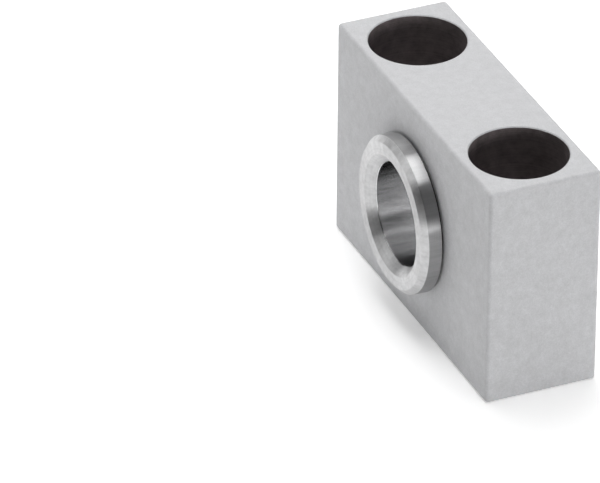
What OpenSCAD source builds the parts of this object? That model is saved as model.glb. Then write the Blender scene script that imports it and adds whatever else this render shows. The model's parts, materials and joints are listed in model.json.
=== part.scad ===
// Shaft support block: a machined block with two counterbored screw holes and
// a collared plain bush pressed through it.
// X runs along the block, Y along the bush with its collar towards -Y, Z is up.
// The origin is the centre of the mounting face, midway between the screw holes.

/* [Block] */
// Length of the block along X
block_l = 55; // [54:0.5:80]
// Thickness of the block along Y
block_t = 18; // [17:0.5:30]
// Height of the block above its mounting face
block_h = 36; // [34:0.5:60]
// Radius on the block's outer edges
edge_r = 0.6; // [0.3:0.1:1.2]
// Edge break at the mouths of the block's holes
hole_break = 0.25; // [0.1:0.05:0.4]

/* [Screw holes] */
// Distance between the two screw holes
screw_spacing = 36; // [35:0.5:37]
// Clearance hole for the screw
screw_d = 9; // [6:0.1:9.5]
// Counterbore for the screw's head
head_d = 15; // [11:0.1:15.5]
// Depth of the counterbore
head_depth = 9; // [5:0.5:14]

/* [Bush] */
// Height of the shaft's centre above the mounting face
shaft_h = 18; // [15:0.5:20]
// Bore that the shaft turns in
bore_d = 16; // [10:0.5:17]
// Wall of the bush's sleeve
sleeve_wall = 3; // [1.5:0.25:3.25]
// Radial gap between the sleeve and its seat, nought for a press fit
press_gap = 0; // [0:0.01:0.03]
// How far the collar stands out beyond the sleeve
collar_lip = 1.25; // [1:0.05:3]
// Thickness of the collar
collar_t = 3; // [2.5:0.1:6]
// Chamfer on the collar's outer edge
collar_chamfer = 0.9; // [0.3:0.1:1.2]
// Width of the relief groove between the collar and the block
relief_w = 0.4; // [0.2:0.1:0.8]
// Step of the shoulder that seats on the block, under the relief groove
shoulder_lip = 0.6; // [0.5:0.05:0.9]
// Lead-in chamfer of the bore at the collar
lead_in = 1.4; // [0.5:0.1:1.4]
// Chamfer of the bore at the flush end
bore_chamfer = 0.5; // [0.2:0.1:0.8]
// Chamfer on the outside of the sleeve's flush end
sleeve_chamfer = 0.45; // [0.2:0.05:0.6]

/* [Hidden] */

// Roundness of the drawn circles
$fn = 96;
// How far a cutting shape runs past the face that it opens
overcut = 1;

sleeve_d = bore_d + 2 * sleeve_wall;
seat_d = sleeve_d + 2 * press_gap;
shoulder_d = sleeve_d + 2 * shoulder_lip;
collar_d = sleeve_d + 2 * collar_lip;

// Distances along the bush from the block's middle plane, outwards at the collar
flush_end = -block_t / 2;
seat_end = block_t / 2;
collar_back = seat_end + relief_w;
collar_front = collar_back + collar_t;

// Rectangle with its four corners rounded, centred on the origin
module rounded_rectangle(w, h, r) {
    square([w - 2 * r, h], center = true);
    square([w, h - 2 * r], center = true);
    for (x = [-1, 1], y = [-1, 1])
        translate([x * (w / 2 - r), y * (h / 2 - r)]) circle(r);
}

// Solid block standing on the mounting face, rounded along all twelve edges
module rounded_block() {
    translate([0, 0, block_h / 2])
        intersection() {
            linear_extrude(block_h, center = true)
                rounded_rectangle(block_l, block_t, edge_r);
            rotate([90, 0, 0])
                linear_extrude(block_t, center = true)
                    rounded_rectangle(block_l, block_h, edge_r);
            rotate([0, 90, 0])
                linear_extrude(block_l, center = true)
                    rounded_rectangle(block_h, block_t, edge_r);
        }
}

// Cutter for a broken edge where a hole of diameter d opens upwards at z = 0
module mouth_break(d) {
    translate([0, 0, -hole_break])
        cylinder(d1 = d, d2 = d + 2 * (hole_break + overcut), h = hole_break + overcut);
}

// Cutter for one screw hole on the origin: clearance hole, counterbore, broken edges
module screw_hole() {
    translate([0, 0, -overcut])
        cylinder(d = screw_d, h = block_h + 2 * overcut);
    translate([0, 0, block_h - head_depth])
        cylinder(d = head_d, h = head_depth + overcut);
    translate([0, 0, block_h]) mouth_break(head_d);
    mirror([0, 0, 1]) mouth_break(screw_d);
}

// Turns a shape built along +Z into the bush's axis, so that +Z points out at the collar
module on_bush_axis() {
    translate([0, 0, shaft_h]) rotate([90, 0, 0]) children();
}

// Cutter for the bush's seat, right through the block
module bush_seat() {
    cylinder(d = seat_d, h = block_t + 2 * overcut, center = true);
    for (side = [0, 1])
        mirror([0, 0, side]) translate([0, 0, seat_end]) mouth_break(seat_d);
}

module support_block() {
    color([0.78, 0.79, 0.80])
        difference() {
            rounded_block();
            for (side = [-1, 1])
                translate([side * screw_spacing / 2, 0, 0]) screw_hole();
            on_bush_axis() bush_seat();
        }
}

// Half section of the turned bush: radius first, then distance along the axis
module bush_section() {
    polygon([
        [bore_d / 2, flush_end + bore_chamfer],
        [bore_d / 2 + bore_chamfer, flush_end],
        [sleeve_d / 2 - sleeve_chamfer, flush_end],
        [sleeve_d / 2, flush_end + sleeve_chamfer],
        [sleeve_d / 2, seat_end],
        [shoulder_d / 2, seat_end],
        [shoulder_d / 2, collar_back],
        [collar_d / 2, collar_back],
        [collar_d / 2, collar_front - collar_chamfer],
        [collar_d / 2 - collar_chamfer, collar_front],
        [bore_d / 2 + lead_in, collar_front],
        [bore_d / 2, collar_front - lead_in]
    ]);
}

module bearing_bush() {
    color([0.70, 0.70, 0.71])
        on_bush_axis() rotate_extrude() bush_section();
}

support_block();
bearing_bush();
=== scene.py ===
"""Looks of a shaft support block: a satin block with a bright turned bush, on a pale studio floor."""
import json
import math

import bpy
from mathutils import Matrix, Vector


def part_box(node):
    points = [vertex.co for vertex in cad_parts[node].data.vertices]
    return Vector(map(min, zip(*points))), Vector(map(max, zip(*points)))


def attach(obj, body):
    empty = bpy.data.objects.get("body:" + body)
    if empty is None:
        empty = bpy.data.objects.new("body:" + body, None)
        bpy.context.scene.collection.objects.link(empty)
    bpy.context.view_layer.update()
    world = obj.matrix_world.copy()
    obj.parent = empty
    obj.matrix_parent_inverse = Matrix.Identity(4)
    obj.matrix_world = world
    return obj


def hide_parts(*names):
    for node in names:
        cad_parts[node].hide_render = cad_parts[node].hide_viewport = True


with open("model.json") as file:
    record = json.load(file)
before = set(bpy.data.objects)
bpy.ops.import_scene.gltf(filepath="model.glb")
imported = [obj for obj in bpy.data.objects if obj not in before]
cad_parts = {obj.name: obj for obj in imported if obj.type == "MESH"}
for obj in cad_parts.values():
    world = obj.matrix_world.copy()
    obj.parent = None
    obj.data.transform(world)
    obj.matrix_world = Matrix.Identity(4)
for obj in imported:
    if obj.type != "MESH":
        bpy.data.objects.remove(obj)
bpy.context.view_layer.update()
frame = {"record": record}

bl_info = {
    "name": "Shaft support block",
    "version": (1, 0, 0),
    "blender": (4, 5, 0),
    "location": "View3D > Sidebar > Shaft support",
    "description": "Makes a bolted-down support block with its pressed-in bush, and a studio round it",
    "category": "Object",
}

MM = 0.001
BODY = "root"

BLOCK_LOW, BLOCK_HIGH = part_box("support_block")
BUSH_LOW, BUSH_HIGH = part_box("bearing_bush")
MOUNTS = {mount["name"]: mount for mount in frame["record"]["mounts"]}
SHAFT_BORE = MOUNTS["shaft_bore"]
SCREW_HOLES = MOUNTS["screw_holes"]
SHAFT_HEIGHT = SHAFT_BORE["pos_m"][2]

# Facets round the bush and round each hole
ROUND_FACETS = 256
# Steps round each edge of the block, and round each soft corner of the bush
EDGE_STEPS = 4
CORNER_STEPS = 3
# Edges that turn more than this stay sharp
SHARP_ANGLE = math.radians(40)
# Mark on the faces that are a hole's walls
WALL_MARK = "is_hole_wall"


# ---------------------------------------------------------------- sizes and colours

def length(name, description, default):
    """A size in metres, shown to a hundredth of a millimetre."""
    return bpy.props.FloatProperty(name=name, description=description, default=default, min=0.0,
                                   precision=5, subtype="DISTANCE", unit="LENGTH")


def place(name, description, default):
    """A distance along an axis in metres, which may be negative."""
    return bpy.props.FloatProperty(name=name, description=description, default=default,
                                   precision=5, subtype="DISTANCE", unit="LENGTH")


def colour(name, description, default):
    """A colour in linear red, green and blue."""
    return bpy.props.FloatVectorProperty(name=name, description=description, default=default,
                                         size=3, min=0.0, max=1.0, subtype="COLOR")


def factor(name, description, default):
    """A share from nought to one."""
    return bpy.props.FloatProperty(name=name, description=description, default=default,
                                   min=0.0, max=1.0, subtype="FACTOR")


def angle(name, description, default):
    """An angle, stored in radians and given here in degrees."""
    return bpy.props.FloatProperty(name=name, description=description, default=math.radians(default),
                                   subtype="ANGLE", unit="ROTATION")


def amount(name, description, default):
    """A plain number that has no unit."""
    return bpy.props.FloatProperty(name=name, description=description, default=default, min=0.0)


class BlockSettings(bpy.types.PropertyGroup):
    """Sizes and finishes of the machined block."""
    length: length("Length", "Length of the block along X", BLOCK_HIGH.x - BLOCK_LOW.x)
    thickness: length("Thickness", "Thickness of the block along Y", BLOCK_HIGH.y - BLOCK_LOW.y)
    height: length("Height", "Height of the block", BLOCK_HIGH.z - BLOCK_LOW.z)
    edge_radius: length("Edge radius", "Radius on the block's outer edges", 0.6 * MM)
    mouth_break: length("Mouth break", "Edge break at the mouth of each hole", 0.15 * MM)
    screw_spacing: length("Screw spacing", "Distance between the screw holes",
                          SCREW_HOLES["dims"]["spacing_x_mm"] * MM)
    screw_radius: length("Screw hole radius", "Radius of the screws' clearance holes",
                         SCREW_HOLES["dims"]["hole_r_mm"] * MM)
    head_radius: length("Counterbore radius", "Radius of the pocket for each screw's head", 7.5 * MM)
    head_depth: length("Counterbore depth", "Depth of the pocket for each screw's head", 9 * MM)
    seat_radius: length("Seat radius", "Radius of the hole that the bush is pressed into", 11 * MM)
    face_colour: colour("Face colour", "Colour of the blasted outer faces", (0.71, 0.712, 0.722))
    face_roughness: factor("Face roughness", "Roughness of the blasted outer faces", 0.85)
    # Painted shade: the hole walls are coloured dark, standing in for the shade inside the holes
    pocket_shade_colour: colour("Pocket colour", "Colour of the drilled and counterbored walls",
                          (0.175, 0.152, 0.153))


class BushSettings(bpy.types.PropertyGroup):
    """Sizes and finish of the turned bush."""
    bore_radius: length("Bore radius", "Radius of the bore that the shaft turns in",
                        SHAFT_BORE["dims"]["r_mm"] * MM)
    sleeve_radius: length("Sleeve radius", "Outer radius of the sleeve in the block", 11 * MM)
    shoulder_radius: length("Shoulder radius", "Radius of the shoulder that seats on the block",
                            11.6 * MM)
    collar_radius: length("Collar radius", "Outer radius of the collar",
                          (BUSH_HIGH.x - BUSH_LOW.x) / 2)
    relief_width: length("Relief width", "Width of the groove between collar and block", 0.4 * MM)
    lead_in: length("Lead-in", "Chamfer of the bore at the collar", 1.4 * MM)
    bore_chamfer: length("Bore chamfer", "Chamfer of the bore at the flush end", 0.5 * MM)
    sleeve_chamfer: length("Sleeve chamfer", "Chamfer on the sleeve's flush end", 0.45 * MM)
    collar_chamfer: length("Collar chamfer", "Chamfer on the collar's outer edge", 0.9 * MM)
    corner_softness: length("Corner softness", "Radius left on each turned corner", 0.07 * MM)
    steel_colour: colour("Steel colour", "Colour of the turned steel", (0.635, 0.635, 0.64))
    steel_roughness: factor("Steel roughness", "Roughness of the turned faces", 0.36)
    steel_grain: factor("Steel grain", "How far the turned faces smear light across their grooves", 0.95)
    bore_roughness: factor("Bore roughness", "Roughness of the bore, which is honed", 0.2)
    bore_grain: factor("Bore grain", "How far the bore smears light along itself", 0.75)
    # Painted shade: darkens the collar's side, standing in for the darker surroundings it mirrors
    side_painted_shade: factor("Side tone", "Brightness of the collar's side beside its face", 0.66)
    # Painted light: brightens the bore, standing in for lamp light it misses
    bore_painted_light: amount("Bore tone", "Brightness of the bore beside the collar's face", 1.07)
    # Painted shade: dark colour of the collar's back, shoulder and sleeve, standing in for the shade in
    # the relief groove
    relief_shade_colour: colour("Groove colour", "Colour of the painted shade in the relief groove", (0.02, 0.02, 0.02))


class StageSettings(bpy.types.PropertyGroup):
    """Floor, lamps and camera."""
    floor_colour: colour("Floor colour", "Colour of the pale floor", (0.92, 0.92, 0.92))
    floor_size: length("Floor size", "Side of the square floor", 6.0)
    floor_glow: amount("Floor glow", "Glow that brings the floor up to white beside the block", 0.33)
    unlit_glow: amount("Unlit glow", "Glow of the floor far away, where no lamp lights it", 0.95)
    lit_reach: length("Lit reach", "Distance from the block to which the lamps light the floor", 0.2)
    mirrored_glow: amount("Mirrored glow", "Glow of the floor where metal or glass mirrors it", 0.14)
    room_level: amount("Room level", "Light from the room above the haze", 0.0)
    haze_level: amount("Haze level", "Light from the pale haze at the horizon", 1.0)
    haze_top: angle("Haze top", "Height above the horizon at which the haze has gone", 7)
    view_azimuth: angle("View azimuth", "Camera's turn round the block, from the collar side", 66.07)
    view_elevation: angle("View elevation", "Camera's height above the horizon", 31.42)
    view_roll: angle("View roll", "Camera's roll about its own line of sight", -0.49)
    view_distance: length("View distance", "Camera's distance from the point it looks at", 1.1574)
    aim_x: place("Aim X", "Point that the camera looks at, along X", -6.83 * MM)
    aim_y: place("Aim Y", "Point that the camera looks at, along Y", -24.03 * MM)
    aim_z: place("Aim Z", "Point that the camera looks at, along Z", 12.48 * MM)
    lens: amount("Lens", "Focal length in millimetres on a 36 mm wide sensor", 463.6)


# ---------------------------------------------------------------- node trees

class NodeKit:
    """Short ways to add, set and link the nodes of one tree."""

    def __init__(self, tree):
        self.tree = tree

    def add(self, kind, inputs=None, **settings):
        """Adds a node, sets its settings, and sets or links its inputs by name or number."""
        node = self.tree.nodes.new(kind)
        for name, value in settings.items():
            setattr(node, name, value)
        for key, value in (inputs or {}).items():
            self.feed(node.inputs[key], value)
        return node

    def feed(self, socket, value):
        """Links value to the socket if it is an output, and otherwise makes it the socket's value."""
        if isinstance(value, bpy.types.NodeSocket):
            self.tree.links.new(value, socket)
        else:
            socket.default_value = value

    def calc(self, operation, *terms):
        """Result of a Math node on up to three terms."""
        return self.add("ShaderNodeMath", dict(enumerate(terms)), operation=operation).outputs[0]

    def more(self, a, b):
        """a plus b."""
        return self.calc("ADD", a, b)

    def less(self, a, b):
        """a minus b."""
        return self.calc("SUBTRACT", a, b)

    def times(self, a, b):
        """a times b."""
        return self.calc("MULTIPLY", a, b)

    def vector_calc(self, operation, *terms):
        """Vector result of a Vector Math node. A SCALE takes its factor as the second term."""
        slots = [0, "Scale"] if operation == "SCALE" else range(3)
        node = self.add("ShaderNodeVectorMath", dict(zip(slots, terms)), operation=operation)
        return node.outputs["Value" if operation in ("LENGTH", "DOT_PRODUCT") else "Vector"]

    def vector(self, x=0.0, y=0.0, z=0.0):
        """A vector joined from three values."""
        return self.add("ShaderNodeCombineXYZ", {"X": x, "Y": y, "Z": z}).outputs[0]


class ShapeTree(NodeKit):
    """A Geometry Nodes tree with named inputs."""

    def __init__(self, name, sizes, counts, materials):
        super().__init__(bpy.data.node_groups.new(name, "GeometryNodeTree"))
        sockets = self.tree.interface
        for group, kind in ((sizes, "NodeSocketFloat"), (counts, "NodeSocketInt"),
                            (materials, "NodeSocketMaterial")):
            for label in group:
                sockets.new_socket(label, in_out="INPUT", socket_type=kind)
        sockets.new_socket("Geometry", in_out="OUTPUT", socket_type="NodeSocketGeometry")
        self.given = self.add("NodeGroupInput").outputs

    def end(self, shape, paint):
        """Closes the tree with smooth faces, sharp edges where they turn, and the materials.

        paint lists pairs of a selection of faces and a material. A later pair covers an earlier one.
        """
        smooth = self.add("GeometryNodeSetShadeSmooth", {"Geometry": shape, "Shade Smooth": True},
                          domain="FACE").outputs[0]
        turn = self.add("GeometryNodeInputMeshEdgeAngle").outputs["Unsigned Angle"]
        is_sharp = self.add("FunctionNodeCompare", {0: turn, 1: SHARP_ANGLE},
                            data_type="FLOAT", operation="GREATER_THAN").outputs[0]
        creased = self.add("GeometryNodeSetShadeSmooth",
                           {"Geometry": smooth, "Selection": is_sharp, "Shade Smooth": False},
                           domain="EDGE").outputs[0]
        result = self.add("GeometryNodeRealizeInstances", {"Geometry": creased}).outputs[0]
        for faces, material in paint:
            result = self.add("GeometryNodeSetMaterial", {"Geometry": result, "Selection": faces,
                                                          "Material": material}).outputs[0]
        self.add("NodeGroupOutput", {"Geometry": result})


def rounded_box(kit, size, radius, steps):
    """Box on the floor with its edges rounded: a grid cube whose outer lines are bent into arcs.

    The cube has 2 * steps + 2 lines each way, one unit apart. The middle two bound the flat of a
    face, and the others lie at equal angles round the edge.
    """
    lines = kit.calc("MULTIPLY_ADD", steps, 2.0, 2.0)
    side = kit.less(lines, 1.0)
    cube = kit.add("GeometryNodeMeshCube", {"Size": kit.vector(side, side, side), "Vertices X": lines,
                                            "Vertices Y": lines, "Vertices Z": lines}).outputs[0]
    grid = kit.add("GeometryNodeInputPosition").outputs[0]
    sign = kit.vector_calc("SIGN", grid)
    past_flat = kit.vector_calc("SUBTRACT", kit.vector_calc("ABSOLUTE", grid), (0.5, 0.5, 0.5))
    turn = kit.vector_calc("SCALE", past_flat, kit.calc("DIVIDE", math.pi / 4, steps))
    outward = kit.vector_calc("NORMALIZE",
                              kit.vector_calc("MULTIPLY", sign, kit.vector_calc("TANGENT", turn)))
    flat_half = kit.vector_calc("SUBTRACT", kit.vector_calc("SCALE", size, 0.5),
                                kit.vector(radius, radius, radius))
    centred = kit.vector_calc("ADD", kit.vector_calc("MULTIPLY", sign, flat_half),
                              kit.vector_calc("SCALE", outward, radius))
    lift = kit.vector_calc("MULTIPLY", size, (0.0, 0.0, 0.5))
    return kit.add("GeometryNodeSetPosition",
                   {"Geometry": cube, "Position": kit.vector_calc("ADD", centred, lift)}).outputs[0]


def pick_point(kit, number, points):
    """The point that the number picks from a list of points, each of which may be computed."""
    pick = kit.add("GeometryNodeIndexSwitch", {0: number}, data_type="VECTOR")
    while len(pick.inputs) < len(points) + 2:
        pick.index_switch_items.new()
    for socket, point in zip(list(pick.inputs)[1:], points):
        kit.feed(socket, kit.vector(*point))
    return pick.outputs[0]


def lathe(kit, section):
    """Solid turned on the Z axis through (radius, height) points, from the bottom to the top.

    It starts as a cylinder of radius one with a ring for each point, and each ring is moved.
    """
    steps = len(section) - 1
    rod = kit.add("GeometryNodeMeshCylinder",
                  {"Vertices": kit.given["Facets"], "Side Segments": steps, "Radius": 1.0,
                   "Depth": float(steps)}).outputs["Mesh"]
    start = kit.add("GeometryNodeInputPosition").outputs[0]
    level = kit.vector_calc("DOT_PRODUCT", start, (0.0, 0.0, 1.0))
    ring = kit.calc("ROUND", kit.more(level, steps / 2))
    target = pick_point(kit, ring, [(radius, radius, height) for radius, height in section])
    moved = kit.vector_calc("MULTIPLY_ADD", kit.vector_calc("MULTIPLY", start, (1.0, 1.0, 0.0)),
                            target, kit.vector_calc("MULTIPLY", target, (0.0, 0.0, 1.0)))
    return kit.add("GeometryNodeSetPosition", {"Geometry": rod, "Position": moved}).outputs[0]


def mark_walls(kit, cutter, low, high):
    """Marks a cutter's faces between two heights, which leave the hole's walls in the block."""
    height = kit.vector_calc("DOT_PRODUCT", kit.add("GeometryNodeInputPosition").outputs[0],
                             (0.0, 0.0, 1.0))
    inside = kit.times(kit.calc("GREATER_THAN", height, low), kit.calc("LESS_THAN", height, high))
    return kit.add("GeometryNodeStoreNamedAttribute",
                   {"Geometry": cutter, "Name": WALL_MARK, "Value": inside},
                   data_type="BOOLEAN", domain="FACE").outputs[0]


def on_bush_axis(kit, shape):
    """Turns a shape built along Z so that -Z points out at the collar, at the shaft's height."""
    return kit.add("GeometryNodeTransform",
                   {"Geometry": shape, "Translation": kit.vector(0.0, 0.0, kit.given["Shaft Height"]),
                    "Rotation": (-math.pi / 2, 0.0, 0.0)}).outputs[0]


def block_tree():
    """Rounded block less two screw holes, which are copies of one cutter, and the bush's seat."""
    kit = ShapeTree("Drilled block",
                    ["Length", "Thickness", "Height", "Edge Radius", "Mouth Break", "Screw Spacing",
                     "Screw Radius", "Head Radius", "Head Depth", "Seat Radius", "Shaft Height"],
                    ["Edge Steps", "Facets"], ["Face Material", "Pocket Material"])
    given = kit.given
    more, less, times = kit.more, kit.less, kit.times

    size = kit.vector(given["Length"], given["Thickness"], given["Height"])
    box = rounded_box(kit, size, given["Edge Radius"], given["Edge Steps"])

    # Each mouth widens by one break at the face, so the cutter is two breaks wider one break out
    broken = given["Mouth Break"]
    flare = times(broken, 2.0)
    top, screw, head = given["Height"], given["Screw Radius"], given["Head Radius"]
    head_seat = less(top, given["Head Depth"])
    one_hole = mark_walls(kit, lathe(kit, [
        (more(screw, flare), times(broken, -1.0)),
        (screw, broken),
        (screw, head_seat),
        (head, head_seat),
        (head, less(top, broken)),
        (more(head, flare), more(top, broken)),
    ]), broken, less(top, broken))
    spacing = given["Screw Spacing"]
    row = kit.add("GeometryNodeMeshLine",
                  {"Count": 2, "Start Location": kit.vector(times(spacing, -0.5)),
                   "Offset": kit.vector(spacing)}).outputs[0]
    copies = kit.add("GeometryNodeInstanceOnPoints", {"Points": row, "Instance": one_hole})
    screw_holes = kit.add("GeometryNodeRealizeInstances", {"Geometry": copies.outputs[0]}).outputs[0]

    half = times(given["Thickness"], 0.5)
    low = times(half, -1.0)
    bore = given["Seat Radius"]
    seat = mark_walls(kit, lathe(kit, [
        (more(bore, flare), less(low, broken)),
        (bore, more(low, broken)),
        (bore, less(half, broken)),
        (more(bore, flare), more(half, broken)),
    ]), more(low, broken), less(half, broken))

    drilled = kit.add("GeometryNodeMeshBoolean", {"Mesh 1": box}, operation="DIFFERENCE",
                      solver="EXACT")
    for cutter in (screw_holes, on_bush_axis(kit, seat)):
        kit.tree.links.new(cutter, drilled.inputs["Mesh 2"])
    is_wall = kit.add("GeometryNodeInputNamedAttribute", {"Name": WALL_MARK},
                      data_type="BOOLEAN").outputs["Attribute"]
    kit.end(drilled.outputs["Mesh"],
            [(True, given["Face Material"]), (is_wall, given["Pocket Material"])])
    return kit.tree


def bush_tree():
    """Turned bush: its half section, swept once round the axis."""
    kit = ShapeTree("Turned bush",
                    ["Bore Radius", "Sleeve Radius", "Shoulder Radius", "Collar Radius", "Flush End",
                     "Seat End", "Relief Width", "Collar End", "Lead-in", "Bore Chamfer",
                     "Sleeve Chamfer", "Collar Chamfer", "Corner Softness", "Shaft Height"],
                    ["Corner Steps", "Facets"], ["Material"])
    given = kit.given
    bore, sleeve, collar = (given[f"{part} Radius"] for part in ("Bore", "Sleeve", "Collar"))
    flush, seat, front = given["Flush End"], given["Seat End"], given["Collar End"]
    more, less = kit.more, kit.less
    back = more(seat, given["Relief Width"])

    section = [
        (bore, more(flush, given["Bore Chamfer"])),
        (more(bore, given["Bore Chamfer"]), flush),
        (less(sleeve, given["Sleeve Chamfer"]), flush),
        (sleeve, more(flush, given["Sleeve Chamfer"])),
        (sleeve, seat),
        (given["Shoulder Radius"], seat),
        (given["Shoulder Radius"], back),
        (collar, back),
        (collar, less(front, given["Collar Chamfer"])),
        (less(collar, given["Collar Chamfer"]), front),
        (more(bore, given["Lead-in"]), front),
        (bore, less(front, given["Lead-in"])),
    ]
    # The sweep runs along the bore's circle, so a radius counts from there
    target = pick_point(kit, kit.add("GeometryNodeInputIndex").outputs[0],
                        [(less(radius, bore), along) for radius, along in section])
    row = kit.add("GeometryNodeMeshLine", {"Count": len(section)}).outputs[0]
    bent = kit.add("GeometryNodeSetPosition", {"Geometry": row, "Position": target})
    line = kit.add("GeometryNodeMeshToCurve", {"Mesh": bent.outputs[0]}).outputs[0]
    closed = kit.add("GeometryNodeSetSplineCyclic", {"Geometry": line, "Cyclic": True}).outputs[0]
    soft = kit.add("GeometryNodeFilletCurve", {"Curve": closed, "Count": given["Corner Steps"],
                                               "Radius": given["Corner Softness"],
                                               "Limit Radius": True}, mode="POLY").outputs[0]
    ring = kit.add("GeometryNodeCurvePrimitiveCircle", {"Resolution": given["Facets"],
                                                        "Radius": bore}).outputs[0]
    upright = kit.add("GeometryNodeSetCurveNormal", {"Curve": ring}, mode="Z_UP").outputs[0]
    swept = kit.add("GeometryNodeCurveToMesh", {"Curve": upright, "Profile Curve": soft}).outputs[0]
    kit.end(on_bush_axis(kit, swept), [(True, given["Material"])])
    return kit.tree


def mesh_from_tree(name, tree, values):
    """Runs a shape tree with the values given by input name, and keeps its result as a plain mesh."""
    carrier = bpy.data.objects.new(name + "_carrier", bpy.data.meshes.new(name + "_carrier"))
    bpy.context.scene.collection.objects.link(carrier)
    shaper = carrier.modifiers.new("Shape", "NODES")
    shaper.node_group = tree
    for item in tree.interface.items_tree:
        if item.item_type == "SOCKET" and item.in_out == "INPUT":
            shaper[item.identifier] = values[item.name]
    flatten = carrier.modifiers.new("Even normals", "WEIGHTED_NORMAL")
    flatten.mode = "FACE_AREA"
    flatten.weight = 100
    flatten.keep_sharp = True
    evaluated = carrier.evaluated_get(bpy.context.evaluated_depsgraph_get())
    mesh = bpy.data.meshes.new_from_object(evaluated)
    mesh.name = name
    if WALL_MARK in mesh.attributes:
        mesh.attributes.remove(mesh.attributes[WALL_MARK])
    bpy.data.objects.remove(carrier)
    if not mesh.polygons:
        raise RuntimeError(f"the tree {tree.name!r} made no faces for {name}")
    # A shape that starts as a grid cube brings an empty first slot with it
    if mesh.materials[0] is None:
        mesh.materials.pop(index=0)
    piece = bpy.data.objects.new(name, mesh)
    bpy.context.scene.collection.objects.link(piece)
    return piece


# ---------------------------------------------------------------- finishes

class Finish(NodeKit):
    """The node tree of one material, with the piece's own place in it."""

    def __init__(self, name):
        self.material = bpy.data.materials.new(name)
        self.material.use_nodes = True
        super().__init__(self.material.node_tree)
        self.tree.nodes.clear()
        self.place = self.add("ShaderNodeTexCoord").outputs["Object"]

    def noise(self, size, detail, rough=0.5, place=None, along=None):
        """Noise from nought to one, with features of about the given size in metres."""
        inputs = {"Scale": 1 / size, "Detail": detail, "Roughness": rough}
        if along is not None:
            inputs["W"] = along
            return self.add("ShaderNodeTexNoise", inputs, noise_dimensions="1D").outputs[0]
        inputs["Vector"] = place if place is not None else self.place
        return self.add("ShaderNodeTexNoise", inputs, noise_dimensions="3D").outputs[0]

    def spread(self, value, low, high, start, end):
        """Value, which runs from low to high, mapped to run from start to end and no further."""
        return self.add("ShaderNodeMapRange", {"Value": value, "From Min": low, "From Max": high,
                                               "To Min": start, "To Max": end}).outputs["Result"]

    def mix(self, share, a, b):
        """Colour a turning to colour b as share goes from nought to one."""
        node = self.add("ShaderNodeMix", data_type="RGBA")
        for socket, value in zip((node.inputs[0], node.inputs[6], node.inputs[7]), (share, a, b)):
            self.feed(socket, value)
        return node.outputs[2]

    def shade(self, colour_value, by):
        """Colour multiplied by a number."""
        return self.vector_calc("SCALE", colour_value, by)

    def bump(self, height, depth, strength):
        """Normal of a relief of the given depth in metres."""
        return self.add("ShaderNodeBump", {"Height": height, "Distance": depth,
                                           "Strength": strength}).outputs[0]

    def end(self, **inputs):
        """Closes the material with a Principled shader that has the given inputs."""
        shader = self.add("ShaderNodeBsdfPrincipled",
                          {name.replace("_", " "): value for name, value in inputs.items()})
        self.add("ShaderNodeOutputMaterial", {"Surface": shader.outputs[0]})
        return self.material


def opaque(rgb):
    """A colour with full alpha, as a colour socket wants it."""
    return (*rgb, 1.0)


# Sizes of the patterns in the finishes, and depths of their reliefs
BLAST_MOTTLE = 1.4 * MM
BLAST_GRAIN = 0.2 * MM
BLAST_RELIEF = 0.02 * MM
DRILL_RINGS = 0.3 * MM
DRILL_RELIEF = 0.01 * MM
WALL_MOTTLE = 2.0 * MM
TURNED_GROOVES = 0.16 * MM
TURNED_BANDS = 0.7 * MM
TURNED_RELIEF = 0.002 * MM
RUBBED_STREAKS = 0.9 * MM
# Streaks are narrow and long: their length is their width divided by this
STREAK_SQUEEZE = 0.12
# How fast the grooves go by along the axis, where one is their pace along a face
GROOVE_PITCH = 1.7
# How far past its own corner each zone of the bush's finish reaches
BORE_REACH = 0.1 * MM
SIDE_REACH = 0.03 * MM
SHADE_REACH = 0.02 * MM
# Width of the sleeve's chamfer that the painted shade leaves clear
UNSHADED_LIP = 0.05 * MM


def blasted_face(sizes):
    """Finely blasted aluminium: mottled at every scale down to its grain, and nearly without gloss."""
    finish = Finish("blasted_aluminium")
    mottle = finish.noise(BLAST_MOTTLE, 3.0, 0.85)
    grain = finish.noise(BLAST_GRAIN, 1.0)
    tone = finish.more(finish.spread(mottle, 0.2, 0.8, -0.1, 0.1),
                       finish.spread(grain, 0.2, 0.8, 0.95, 1.05))
    rough = sizes.face_roughness
    return finish.end(
        Base_Color=finish.shade(tuple(sizes.face_colour), tone),
        Metallic=1.0,
        Roughness=finish.spread(mottle, 0.2, 0.8, rough - 0.05, rough + 0.05),
        Normal=finish.bump(finish.more(mottle, grain), BLAST_RELIEF, 0.6))


def drilled_wall(sizes):
    """Walls of the drilled and counterbored holes: painted dark as painted shade, standing in for the
    shade inside the holes, mottled at random, with rings left by the tool.
    """
    finish = Finish("drilled_wall")
    height = finish.add("ShaderNodeSeparateXYZ", {0: finish.place}).outputs["Z"]
    rings = finish.noise(DRILL_RINGS, 2.0, along=height)
    wall_mottle = finish.noise(WALL_MOTTLE, 4.0, 0.7)
    tone = finish.more(finish.spread(rings, 0.3, 0.7, -0.12, 0.12),
                       finish.spread(wall_mottle, 0.3, 0.7, 0.7, 1.3))
    return finish.end(
        # Painted shade: dark base colour standing in for the shade inside the holes
        Base_Color=finish.shade(tuple(sizes.pocket_shade_colour), tone),
        Metallic=0.0,
        Roughness=finish.spread(wall_mottle, 0.3, 0.7, 0.6, 0.75),
        Specular_IOR_Level=0.2,
        Normal=finish.bump(rings, DRILL_RELIEF, 0.5))


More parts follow.
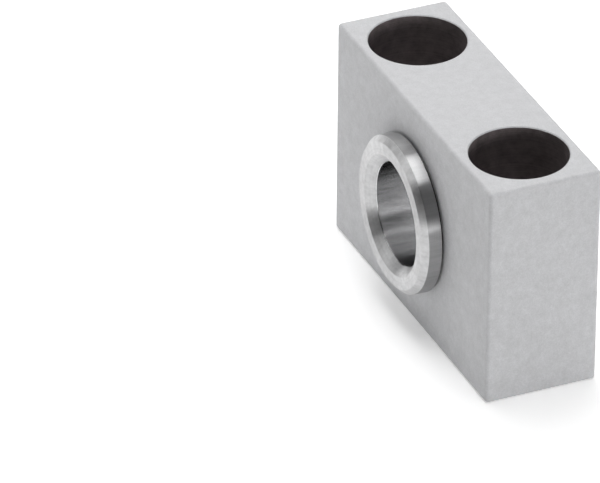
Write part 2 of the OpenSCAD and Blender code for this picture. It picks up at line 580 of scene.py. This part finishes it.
def turned_steel(sizes, block):
    """Bright turned steel: fine grooves round the axis, and painted shade where it meets the block."""
    finish = Finish("turned_steel")
    centred = finish.vector_calc("SUBTRACT", finish.place, (0.0, 0.0, SHAFT_HEIGHT))
    x, y, z = finish.add("ShaderNodeSeparateXYZ", {0: centred}).outputs
    radius = finish.vector_calc("LENGTH", finish.vector(x, 0.0, z))

    def where(share, inside, outside=1.0):
        """One value inside a zone and another outside it."""
        return finish.spread(share, 0.0, 1.0, outside, inside)

    honed = finish.calc("LESS_THAN", radius, sizes.bore_radius + BORE_REACH)
    on_side = finish.calc("GREATER_THAN", radius, sizes.collar_radius - SIDE_REACH)
    collar_back = -block.thickness / 2 - sizes.relief_width
    behind_collar = finish.calc("GREATER_THAN", y, collar_back - SHADE_REACH)
    sleeve_rim = sizes.sleeve_radius - sizes.sleeve_chamfer
    outside_sleeve = finish.calc("GREATER_THAN", radius, sleeve_rim + UNSHADED_LIP)
    # Painted shade: dark where the collar meets the block, standing in for the shade in the relief
    # groove
    relief_shade_mask = finish.times(behind_collar, outside_sleeve)

    # Runs across the grooves on faces, cylinders and chamfers alike
    across = finish.calc("MULTIPLY_ADD", y, GROOVE_PITCH, radius)
    grooves = finish.noise(TURNED_GROOVES, 2.0, along=across)
    bands = finish.noise(TURNED_BANDS, 2.0, along=across)
    # Rubbed streaks run along the axis, so their place is squeezed along Y
    squeezed = finish.vector_calc("MULTIPLY", centred, (1.0, STREAK_SQUEEZE, 1.0))
    streaks = finish.noise(RUBBED_STREAKS, 3.0, 0.6, place=squeezed)

    tone = finish.more(finish.spread(grooves, 0.2, 0.8, -0.06, 0.06),
                       finish.spread(bands, 0.2, 0.8, -0.03, 0.03))
    tone = finish.more(tone, finish.calc("MULTIPLY_ADD",
                                         finish.spread(streaks, 0.25, 0.75, -1.0, 1.0),
                                         where(honed, 0.2, 0.15), 1.0))
    # Painted shade on the collar's side, darker than its face and chamfers, standing in for the darker
    # surroundings it mirrors; painted light in the bore, brighter, standing in for lamp light it misses
    tone = finish.times(tone, where(on_side, sizes.side_painted_shade))
    tone = finish.times(tone, where(honed, sizes.bore_painted_light))
    bright = finish.shade(tuple(sizes.steel_colour), tone)
    rough = finish.more(where(honed, sizes.bore_roughness, sizes.steel_roughness),
                        finish.spread(streaks, 0.2, 0.8, -0.04, 0.04))
    around = finish.vector_calc("NORMALIZE", finish.vector_calc("CROSS_PRODUCT", (0.0, 1.0, 0.0),
                                                                centred))
    return finish.end(
        Base_Color=finish.mix(relief_shade_mask, bright, opaque(sizes.relief_shade_colour)),
        Metallic=1.0,
        Roughness=finish.calc("MULTIPLY_ADD", relief_shade_mask, 0.3, rough),
        Anisotropic=where(honed, sizes.bore_grain, sizes.steel_grain),
        Anisotropic_Rotation=0.25,
        Tangent=around,
        Normal=finish.bump(grooves, TURNED_RELIEF, where(honed, 0.0, 0.4)))


def studio_floor(stage):
    """Pale matt floor with a faint glow, so that it looks white and keeps the block's shadow.

    The glow grows with distance from the block, where the lamps no longer reach.
    """
    finish = Finish("studio_floor")
    path = finish.add("ShaderNodeLightPath").outputs
    away = finish.vector_calc("LENGTH", finish.place)
    seen = finish.spread(away, stage.lit_reach, 3 * stage.lit_reach, stage.floor_glow,
                         stage.unlit_glow)
    mirrored = finish.calc("MAXIMUM", path["Is Glossy Ray"], path["Is Transmission Ray"])
    glow = finish.calc("MULTIPLY_ADD", path["Is Camera Ray"], seen,
                       finish.times(mirrored, stage.mirrored_glow))
    return finish.end(Base_Color=opaque(stage.floor_colour), Roughness=0.9,
                      Specular_IOR_Level=0.2, Emission_Color=(1.0, 1.0, 1.0, 1.0),
                      Emission_Strength=glow)


# ---------------------------------------------------------------- operators

class SHAFTSUPPORT_OT_block(bpy.types.Operator):
    """Make the machined block with its screw holes and the bush's seat"""
    bl_idname = "shaft_support.make_block"
    bl_label = "Make block"

    def execute(self, context):
        sizes = context.scene.support_block
        values = {
            "Length": sizes.length, "Thickness": sizes.thickness, "Height": sizes.height,
            "Edge Radius": sizes.edge_radius, "Mouth Break": sizes.mouth_break,
            "Screw Spacing": sizes.screw_spacing, "Screw Radius": sizes.screw_radius,
            "Head Radius": sizes.head_radius, "Head Depth": sizes.head_depth,
            "Seat Radius": sizes.seat_radius, "Shaft Height": SHAFT_HEIGHT,
            "Edge Steps": EDGE_STEPS, "Facets": ROUND_FACETS,
            "Face Material": blasted_face(sizes), "Pocket Material": drilled_wall(sizes),
        }
        block = mesh_from_tree("machined_block", block_tree(), values)
        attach(block, BODY)
        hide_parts("support_block")
        return {"FINISHED"}


class SHAFTSUPPORT_OT_bush(bpy.types.Operator):
    """Make the turned bush with its collar"""
    bl_idname = "shaft_support.make_bush"
    bl_label = "Make bush"

    def execute(self, context):
        sizes = context.scene.support_bush
        block = context.scene.support_block
        half = block.thickness / 2
        values = {
            "Bore Radius": sizes.bore_radius, "Sleeve Radius": sizes.sleeve_radius,
            "Shoulder Radius": sizes.shoulder_radius, "Collar Radius": sizes.collar_radius,
            "Flush End": -half, "Seat End": half, "Relief Width": sizes.relief_width,
            "Collar End": -BUSH_LOW.y, "Lead-in": sizes.lead_in,
            "Bore Chamfer": sizes.bore_chamfer, "Sleeve Chamfer": sizes.sleeve_chamfer,
            "Collar Chamfer": sizes.collar_chamfer, "Corner Softness": sizes.corner_softness,
            "Shaft Height": SHAFT_HEIGHT,
            "Corner Steps": CORNER_STEPS, "Facets": ROUND_FACETS,
            "Material": turned_steel(sizes, block),
        }
        bush = mesh_from_tree("turned_bush", bush_tree(), values)
        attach(bush, BODY)
        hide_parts("bearing_bush")
        return {"FINISHED"}


def towards(azimuth, elevation):
    """Unit vector out from the block, with azimuth 0 along -Y and a quarter turn along +X."""
    flat = math.cos(elevation)
    return Vector((math.sin(azimuth) * flat, -math.cos(azimuth) * flat, math.sin(elevation)))


# Softboxes: name, azimuth and elevation in degrees, distance, width and height in metres, and how
# bright each looks, where one is the brightness of white paper in plain light
SOFTBOXES = [
    ("overhead", 0, 90, 0.55, 0.44, 0.28, 5.85),
    ("right_strip", 112, 6, 0.60, 1.08, 0.125, 3.9),
    ("rear_high", 246, 30, 0.60, 0.80, 0.45, 1.5),
    ("left_high", 285, 55, 0.60, 0.50, 0.30, 0.9),
    ("near_left", 330, 22, 0.16, 0.16, 0.16, 0.38),
]


def add_softbox(name, azimuth, elevation, distance, width, height, level, target):
    """Area lamp that faces the target. It shows in reflections and never to the camera."""
    lamp = bpy.data.lights.new(name, "AREA")
    lamp.shape = "RECTANGLE"
    lamp.size, lamp.size_y = width, height
    lamp.energy = level * math.pi * width * height
    holder = bpy.data.objects.new(name, lamp)
    bpy.context.scene.collection.objects.link(holder)
    out = towards(math.radians(azimuth), math.radians(elevation))
    holder.location = target + out * distance
    holder.rotation_mode = "QUATERNION"
    holder.rotation_quaternion = (-out).to_track_quat("-Z", "Y")
    holder.visible_camera = False


def studio_world(stage):
    """Dark room with a pale haze along the horizon."""
    world = bpy.data.worlds.new("studio")
    world.use_nodes = True
    kit = NodeKit(world.node_tree)
    kit.tree.nodes.clear()
    direction = kit.add("ShaderNodeTexCoord").outputs["Generated"]
    height = kit.vector_calc("DOT_PRODUCT", direction, (0.0, 0.0, 1.0))
    level = kit.add("ShaderNodeMapRange",
                    {"Value": height, "From Min": math.sin(stage.haze_top / 2),
                     "From Max": math.sin(stage.haze_top), "To Min": stage.haze_level,
                     "To Max": stage.room_level},
                    interpolation_type="SMOOTHSTEP").outputs["Result"]
    back = kit.add("ShaderNodeBackground", {"Color": (1.0, 1.0, 1.0, 1.0), "Strength": level})
    kit.add("ShaderNodeOutputWorld", {"Surface": back.outputs[0]})
    return world


class SHAFTSUPPORT_OT_stage(bpy.types.Operator):
    """Make the floor, the lamps and the camera"""
    bl_idname = "shaft_support.make_stage"
    bl_label = "Make stage"

    def execute(self, context):
        scene = context.scene
        stage = scene.support_stage
        half = stage.floor_size / 2
        mesh = bpy.data.meshes.new("floor")
        corners = [(-half, -half, 0), (half, -half, 0), (half, half, 0), (-half, half, 0)]
        mesh.from_pydata(corners, [], [(0, 1, 2, 3)])
        mesh.materials.append(studio_floor(stage))
        floor = bpy.data.objects.new("floor", mesh)
        scene.collection.objects.link(floor)

        centre = Vector((0, 0, (BLOCK_LOW.z + BLOCK_HIGH.z) / 2))
        for box in SOFTBOXES:
            add_softbox(*box, target=centre)
        scene.world = studio_world(stage)
        scene.view_settings.view_transform = "Standard"

        camera_data = bpy.data.cameras.new("camera")
        camera_data.sensor_width = 36.0
        camera_data.lens = stage.lens
        camera_data.clip_start, camera_data.clip_end = 0.05, 20.0
        camera = bpy.data.objects.new("camera", camera_data)
        scene.collection.objects.link(camera)
        back = towards(stage.view_azimuth, stage.view_elevation)
        camera.location = Vector((stage.aim_x, stage.aim_y, stage.aim_z)) + back * stage.view_distance
        roll = Matrix.Rotation(-stage.view_roll, 3, "Z").to_quaternion()
        camera.rotation_mode = "QUATERNION"
        camera.rotation_quaternion = (-back).to_track_quat("-Z", "Y") @ roll
        scene.camera = camera
        return {"FINISHED"}


# ---------------------------------------------------------------- sidebar and registration

class SHAFTSUPPORT_PT_panel(bpy.types.Panel):
    """Lists the settings and the steps that make the shaft support block"""
    bl_label = "Shaft support block"
    bl_space_type = "VIEW_3D"
    bl_region_type = "UI"
    bl_category = "Shaft support"

    def draw(self, context):
        groups = (
            (SHAFTSUPPORT_OT_block, context.scene.support_block),
            (SHAFTSUPPORT_OT_bush, context.scene.support_bush),
            (SHAFTSUPPORT_OT_stage, context.scene.support_stage),
        )
        for operator, settings in groups:
            column = self.layout.box().column(align=True)
            for name in settings.__annotations__:
                column.prop(settings, name)
            column.operator(operator.bl_idname)


SETTINGS = {
    "support_block": BlockSettings,
    "support_bush": BushSettings,
    "support_stage": StageSettings,
}
STEPS = (SHAFTSUPPORT_OT_block, SHAFTSUPPORT_OT_bush, SHAFTSUPPORT_OT_stage)
CLASSES = (*SETTINGS.values(), *STEPS, SHAFTSUPPORT_PT_panel)


def register():
    for cls in CLASSES:
        bpy.utils.register_class(cls)
    for name, settings in SETTINGS.items():
        setattr(bpy.types.Scene, name, bpy.props.PointerProperty(type=settings))


def unregister():
    for name in SETTINGS:
        delattr(bpy.types.Scene, name)
    for cls in reversed(CLASSES):
        bpy.utils.unregister_class(cls)


def main():
    """Makes every piece and the stage."""
    register()
    bpy.ops.shaft_support.make_block()
    bpy.ops.shaft_support.make_bush()
    bpy.ops.shaft_support.make_stage()


if __name__ == "__main__":
    main()
